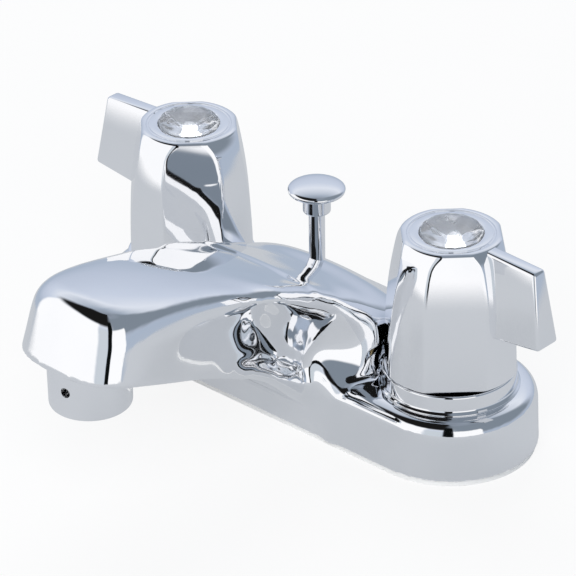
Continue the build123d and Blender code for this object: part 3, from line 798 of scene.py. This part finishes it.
def makeShank(name, x, tree):
    obj = bpy.data.objects.new(name, bpy.data.meshes.new(name))
    bpy.context.scene.collection.objects.link(obj)
    modifier = obj.modifiers.new("thread", "NODES")
    modifier.node_group = tree
    values = {key.capitalize(): value * mm for key, value in thread.items()}
    values["X"] = x * mm
    for item in tree.interface.items_tree:
        if item.in_out == "INPUT":
            modifier[item.identifier] = values[item.name]
    applyModifiers(obj)
    recalculate(obj)
    obj.data.polygons.foreach_set("use_smooth", np.ones(len(obj.data.polygons), bool))
    sharpen(obj, 60)
    return obj


# finishes

def newMaterial(name):
    made = bpy.data.materials.new(name)
    made.use_nodes = True
    tree = made.node_tree
    return made, tree, tree.nodes["Principled BSDF"]


def surfaceNoise(tree, scale, detail=3.0, stretch=(1, 1, 1)):
    coords = Field.node(tree, "ShaderNodeTexCoord", out="Object")
    placed = Field.node(tree, "ShaderNodeMapping", {}, {"Vector": coords, "Scale": stretch})
    inputs = {"Vector": placed, "Scale": scale, "Detail": detail}
    return Field.node(tree, "ShaderNodeTexNoise", {}, inputs, "Fac")


def bumped(tree, shader, height, strength, distance):
    inputs = {"Height": height, "Strength": strength, "Distance": distance}
    Field.node(tree, "ShaderNodeBump", {}, inputs, "Normal").feed(shader.inputs["Normal"])


def mixColour(tree, factor, first, second):
    # 0 is the factor; 6, 7 and output 2 are the mix node's colours
    return Field.node(tree, "ShaderNodeMix", {"data_type": "RGBA"}, {0: factor, 6: first, 7: second}, 2)


chromeFinish = {
    "bright": (0.93, 0.935, 0.95, 1), "worn": (0.90, 0.91, 0.93, 1), "roughness": 0.028, "haze": 0.03,
    "hair": 0.012,
}
acrylicFinish = {
    "clear": (0.97, 0.98, 1.0, 1), "cloudy": (0.93, 0.945, 0.97, 1), "roughness": 0.04, "haze": 0.06,
    "transmission": 0.85, "refraction": 1.49,
}


def chrome(name, grain=900.0, haze=1.0):
    f = chromeFinish
    made, tree, shader = newMaterial(name)
    cloud = surfaceNoise(tree, 38.0, 4.0)
    hair = surfaceNoise(tree, grain, 2.0)
    mixColour(tree, cloud.ramp(0.35, 0.75), f["bright"], f["worn"]).feed(shader.inputs["Base Color"])
    rough = cloud.ramp(0.4, 0.8) * (f["haze"] * haze) + hair.ramp(0.3, 0.9) * f["hair"] + f["roughness"]
    rough.feed(shader.inputs["Roughness"])
    shader.inputs["Metallic"].default_value = 1.0
    return made


def metal(name, light, dark, roughness, grain, stretch=(1, 1, 1), bump=0.15):
    made, tree, shader = newMaterial(name)
    cloud = surfaceNoise(tree, 60.0, 5.0)
    hair = surfaceNoise(tree, grain, 3.0, stretch)
    mixed = (cloud * 0.6 + hair * 0.4).ramp(0.3, 0.7)
    mixColour(tree, mixed, light, dark).feed(shader.inputs["Base Color"])
    rough = hair.ramp(0.2, 0.8) * 0.14 + cloud.ramp(0.3, 0.8) * 0.08 + roughness
    rough.feed(shader.inputs["Roughness"])
    shader.inputs["Metallic"].default_value = 1.0
    bumped(tree, shader, hair, bump, 0.00005)
    return made


def plain(name, light, dark, roughness, grain, bump=0.2, depth=0.0001):
    made, tree, shader = newMaterial(name)
    cloud = surfaceNoise(tree, 45.0, 4.0)
    speck = surfaceNoise(tree, grain, 3.0)
    mixColour(tree, cloud.ramp(0.3, 0.7), light, dark).feed(shader.inputs["Base Color"])
    (speck.ramp(0.2, 0.8) * 0.12 + roughness).feed(shader.inputs["Roughness"])
    bumped(tree, shader, speck, bump, depth)
    return made


def acrylic(name):
    f = acrylicFinish
    made, tree, shader = newMaterial(name)
    cloud = surfaceNoise(tree, 90.0, 3.0)
    mixColour(tree, cloud.ramp(0.3, 0.7), f["clear"], f["cloudy"]).feed(shader.inputs["Base Color"])
    (cloud.ramp(0.3, 0.9) * f["haze"] + f["roughness"]).feed(shader.inputs["Roughness"])
    shader.inputs["Transmission Weight"].default_value = f["transmission"]
    shader.inputs["IOR"].default_value = f["refraction"]
    return made


finishes = {
    "chrome_casting": chrome("chromeCasting"),
    "chrome_handle": chrome("chromeHandle", 1200.0),
    "chrome_collar": chrome("chromeCollar", 1200.0),
    "chrome_rod": chrome("chromeRod", 1500.0),
    "chrome_aerator": chrome("chromeAerator", 1100.0, 1.6),
    "steel_thread": metal("steelThread", (0.78, 0.79, 0.81, 1), (0.62, 0.63, 0.66, 1), 0.16, 700.0),
    "steel_nut": metal("steelNut", (0.80, 0.81, 0.83, 1), (0.68, 0.69, 0.72, 1), 0.18, 500.0),
    "brass": metal("machinedBrass", (0.83, 0.66, 0.36, 1), (0.70, 0.53, 0.26, 1), 0.2, 800.0),
    "white_ceramic": plain("whiteCeramic", (0.88, 0.88, 0.86, 1), (0.82, 0.82, 0.80, 1), 0.18, 900.0, 0.05),
    "white_plastic": plain("whitePlastic", (0.86, 0.86, 0.85, 1), (0.80, 0.80, 0.79, 1), 0.4, 700.0),
    "black_rubber": plain("blackRubber", (0.035, 0.035, 0.036, 1), (0.06, 0.06, 0.062, 1), 0.6, 600.0, 0.4),
    "silver_foil": metal("silverFoil", (0.92, 0.93, 0.95, 1), (0.84, 0.85, 0.88, 1), 0.2, 300.0, bump=0.4),
    "clear_acrylic": acrylic("clearAcrylic"),
}
slotOf = {part["node"]: part["material_slot"] for part in frame["record"]["subparts"]}
for name, node in frame["nodes"].items():
    if not node.material_slots:
        node.data.materials.append(None)
    for materialSlot in node.material_slots:
        materialSlot.material = finishes[slotOf[name]]
print("finishes:", len(finishes))

threadGroup = threadTree(finishes["steel_thread"])
shanks = {}
for side, sign in handleSides.items():
    shanks[side] = makeShank(side + "Shank", sign * spacing, threadGroup)
print("shanks:", len(shanks["left"].data.polygons), "faces each")


# buttons: a clear dome over a faceted back; the foil under it stays as the part made it

button = {
    "radius": 8.95, "floor": 63.8, "domeFoot": 68.9, "dome": 3.0, "facets": 12, "segments": 96,
    "facetDepth": 0.4, "domeFacet": 0.035,
}


def makeButton(name, x):
    b = button
    angles = np.arange(b["segments"]) * 2 * np.pi / b["segments"]
    wave = 0.5 + 0.5 * np.cos(angles * b["facets"])
    radius, floor = b["radius"], b["floor"]
    rows = [
        (0.0, floor + 0.1), (2.2, floor + 0.2), (radius * 0.55 + b["facetDepth"] * wave, floor + 1.4),
        (radius - 0.7, floor + 3.4), (radius - 0.02, floor + 3.7), (radius, b["domeFoot"]),
    ]
    for a in range(8, 90, 6):
        turn = math.radians(a)
        flat = 1 - b["domeFacet"] * wave * math.sin(2 * turn)
        rows.append((radius * math.cos(turn) * flat, b["domeFoot"] + b["dome"] * math.sin(turn)))
    rows.append((0.0, b["domeFoot"] + b["dome"]))
    return turnedShape(name, rows, x, 0, b["segments"], 24)


buttons = {}
for side, sign in handleSides.items():
    buttons[side] = makeButton(side + "IndexButton", sign * spacing)
print("buttons made")


# every new piece rides on its body, replaces its node and takes its finish

def place(obj, body, node):
    obj.data.materials.clear()
    obj.data.materials.append(finishes[slotOf[node]])
    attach(obj, body)
    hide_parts(node)


place(bodyCasting, "faucet_body", "body_casting")
place(liftRod, "lift_rod_body", "lift_rod")
place(liftKnob, "lift_rod_body", "lift_rod_knob")
place(aeratorHousing, "faucet_body", "aerator_housing")
for side in handleSides:
    place(handles[side], side + "_handle_body", side + "_handle")
    place(buttons[side], side + "_handle_body", side + "_index_button")
    place(collars[side], "faucet_body", side + "_collar")
    place(washers[side], "faucet_body", side + "_washer")
    place(nuts[side], "faucet_body", side + "_locknut")
    place(shanks[side], "faucet_body", side + "_shank")
print("pieces placed")


# studio: pale floor, soft surround, camera

studio = {
    "floorHeight": -0.05, "floorShade": 0.80, "floorWhite": 0.86, "floorMirror": (0.50, 0.525, 0.56, 1),
    "floorShadow": 0.25, "floorNear": 0.24, "floorFar": 0.40, "floorReach": 6000,
    "lampPower": 2.6, "lampSize": 0.9, "lampHeight": 0.85, "lampTarget": (0, -0.03, 0.03),
}
# where each lamp stands and how many times the lamp power it has
lamps = {"softLampFront": ((0.55, -0.75), 4), "softLampBack": ((-0.6, 0.5), 2)}
# shades around the object from straight below (0) to straight above (1)
skyShades = [
    (0.0, (0.56, 0.585, 0.62, 1)), (0.5, (0.42, 0.49, 0.60, 1)), (0.56, (0.52, 0.58, 0.70, 1)),
    (0.66, (0.62, 0.68, 0.80, 1)), (0.72, (0.78, 0.82, 0.90, 1)), (0.86, (0.40, 0.46, 0.55, 1)),
    (1.0, (0.20, 0.23, 0.28, 1)),
]
# patches over them: left, right, low, high in degrees, seen from the camera's side; softness; shade
softBoxes = [
    ((0, 125, 8, 78), (12, 8), (0.22, 0.26, 0.31)),
    ((-125, 0, 40, 100), (12, 6), (0.01, 0.01, 0.01)),
    ((-118, -34, -50, 40), (4, 4), (1.05, 1.05, 1.06)),
    ((-34, -10, -50, 30), (4, 8), (0.62, 0.67, 0.72)),
    ((-10, 3, -50, 60), (1.2, 6), (0.004, 0.005, 0.005)),
    ((3, 40, -50, 30), (1.2, 4), (1.05, 1.05, 1.06)),
]
cameraPlace = {
    "azimuth": 42.495, "elevation": 29.787, "roll": -0.641, "distance": 1115.364,
    "target": (-5.488, -6.741, 32.091), "lens": 238.03,
}


def makeFloor():
    s = studio
    r, z = s["floorReach"], s["floorHeight"]
    corners = [(-r, -r, z), (r, -r, z), (r, r, z), (-r, r, z)]
    floor = makeObject("studioFloor", corners, [(0, 1, 2, 3)])
    made, tree, shader = newMaterial("paleFloor")
    shader.inputs["Base Color"].default_value = (s["floorShade"],) * 3 + (1,)
    shader.inputs["Roughness"].default_value = 0.7
    shader.inputs["Specular IOR Level"].default_value = 0.1
    rays = tree.nodes.new("ShaderNodeLightPath")
    white = Field.node(tree, "ShaderNodeEmission", {}, {"Color": (1, 1, 1, 1), "Strength": 1.0})
    grey = Field.node(tree, "ShaderNodeEmission", {}, {"Color": s["floorMirror"], "Strength": 1.0})
    pale = Field(tree, shader.outputs[0])
    seen = Field(tree, rays.outputs["Is Camera Ray"]) * s["floorWhite"]
    first = Field.node(tree, "ShaderNodeMixShader", {}, {0: seen, 1: pale, 2: white})
    # mirrored in the metal, the floor is grey near the object and ends where the soft boxes begin
    here = Field.node(tree, "ShaderNodeTexCoord", out="Object")
    away = Field.node(tree, "ShaderNodeVectorMath", {"operation": "LENGTH"}, {0: here}, "Value")
    beyond = away.ramp(s["floorNear"], s["floorFar"])
    clear = Field.node(tree, "ShaderNodeBsdfTransparent")
    lit = Field.node(tree, "ShaderNodeMixShader", {}, {0: s["floorShadow"], 1: grey, 2: pale})
    table = Field.node(tree, "ShaderNodeMixShader", {}, {0: beyond, 1: lit, 2: clear})
    passed = Field(tree, rays.outputs["Is Transmission Ray"])
    mirror = Field(tree, rays.outputs["Is Glossy Ray"]).math("MAXIMUM", passed)
    second = Field.node(tree, "ShaderNodeMixShader", {}, {0: mirror, 1: first, 2: table})
    second.feed(tree.nodes["Material Output"].inputs["Surface"])
    floor.data.materials.append(made)


def surround():
    # what polished metal mirrors: two soft boxes by the camera with a dark gap, a pale back, a dim ceiling
    world = bpy.data.worlds.new("softStudio")
    bpy.context.scene.world = world
    world.use_nodes = True
    tree = world.node_tree
    tree.nodes.clear()
    direction = Field.node(tree, "ShaderNodeTexCoord", out="Generated")
    inputs = {"Vector": direction, "Angle": math.radians(-cameraPlace["azimuth"])}
    turned = Field.node(tree, "ShaderNodeVectorRotate", {"rotation_type": "Z_AXIS"}, inputs)
    split = tree.nodes.new("ShaderNodeSeparateXYZ")
    turned.feed(split.inputs[0])
    x, y, z = (Field(tree, split.outputs[i]) for i in range(3))
    side = x.math("ARCTAN2", y * -1) * (180 / math.pi)
    height = z.math("ARCSINE") * (180 / math.pi)

    shade = Field.node(tree, "ShaderNodeValToRGB", {"stops": skyShades}, {0: height / 180 + 0.5})
    for (left, right, low, high), (soft, softUp), colour in softBoxes:
        across = side.ramp(left - soft, left + soft) * (1 - side.ramp(right - soft, right + soft))
        upward = height.ramp(low - softUp, low + softUp) * (1 - height.ramp(high - softUp, high + softUp))
        shade = mixColour(tree, across * upward, shade, colour + (1,))
    backdrop = Field.node(tree, "ShaderNodeBackground", {}, {"Color": shade, "Strength": 1.0})
    white = Field.node(tree, "ShaderNodeBackground", {}, {"Color": (1, 1, 1, 1), "Strength": 1.0})
    seen = Field.node(tree, "ShaderNodeLightPath", out="Is Camera Ray")
    final = Field.node(tree, "ShaderNodeMixShader", {}, {0: seen, 1: backdrop, 2: white})
    final.feed(tree.nodes.new("ShaderNodeOutputWorld").inputs["Surface"])


def makeLamp(name, spot, power):
    lamp = bpy.data.lights.new(name, "AREA")
    lamp.shape = "DISK"
    lamp.size = studio["lampSize"]
    lamp.energy = power
    lampObject = bpy.data.objects.new(name, lamp)
    bpy.context.scene.collection.objects.link(lampObject)
    lampObject.location = spot
    lampObject.rotation_mode = "QUATERNION"
    away = Vector(spot) - Vector(studio["lampTarget"])
    lampObject.rotation_quaternion = away.to_track_quat("Z", "Y")
    lampObject.visible_glossy = False
    lampObject.visible_camera = False


def makeCamera():
    c = cameraPlace
    a, e, r = (math.radians(c[k]) for k in ("azimuth", "elevation", "roll"))
    back = Vector((math.sin(a) * math.cos(e), -math.cos(a) * math.cos(e), math.sin(e)))
    right = Vector((math.cos(a), math.sin(a), 0))
    up = back.cross(right)
    across = right * math.cos(r) + up * math.sin(r)
    upright = up * math.cos(r) - right * math.sin(r)
    camera = bpy.data.cameras.new("studioCamera")
    camera.lens = c["lens"]
    camera.sensor_width = 36
    camera.clip_start = 0.01
    camera.clip_end = 50
    obj = bpy.data.objects.new("studioCamera", camera)
    bpy.context.scene.collection.objects.link(obj)
    turn = Matrix((across, upright, back)).transposed()
    obj.rotation_mode = "QUATERNION"
    obj.rotation_quaternion = turn.to_quaternion()
    obj.location = (Vector(c["target"]) + back * c["distance"]) * mm
    bpy.context.scene.camera = obj


makeFloor()
surround()
for lampName, (spot, times) in lamps.items():
    makeLamp(lampName, spot + (studio["lampHeight"],), studio["lampPower"] * times)
makeCamera()
bpy.context.scene.view_settings.view_transform = "Standard"
print("studio ready")
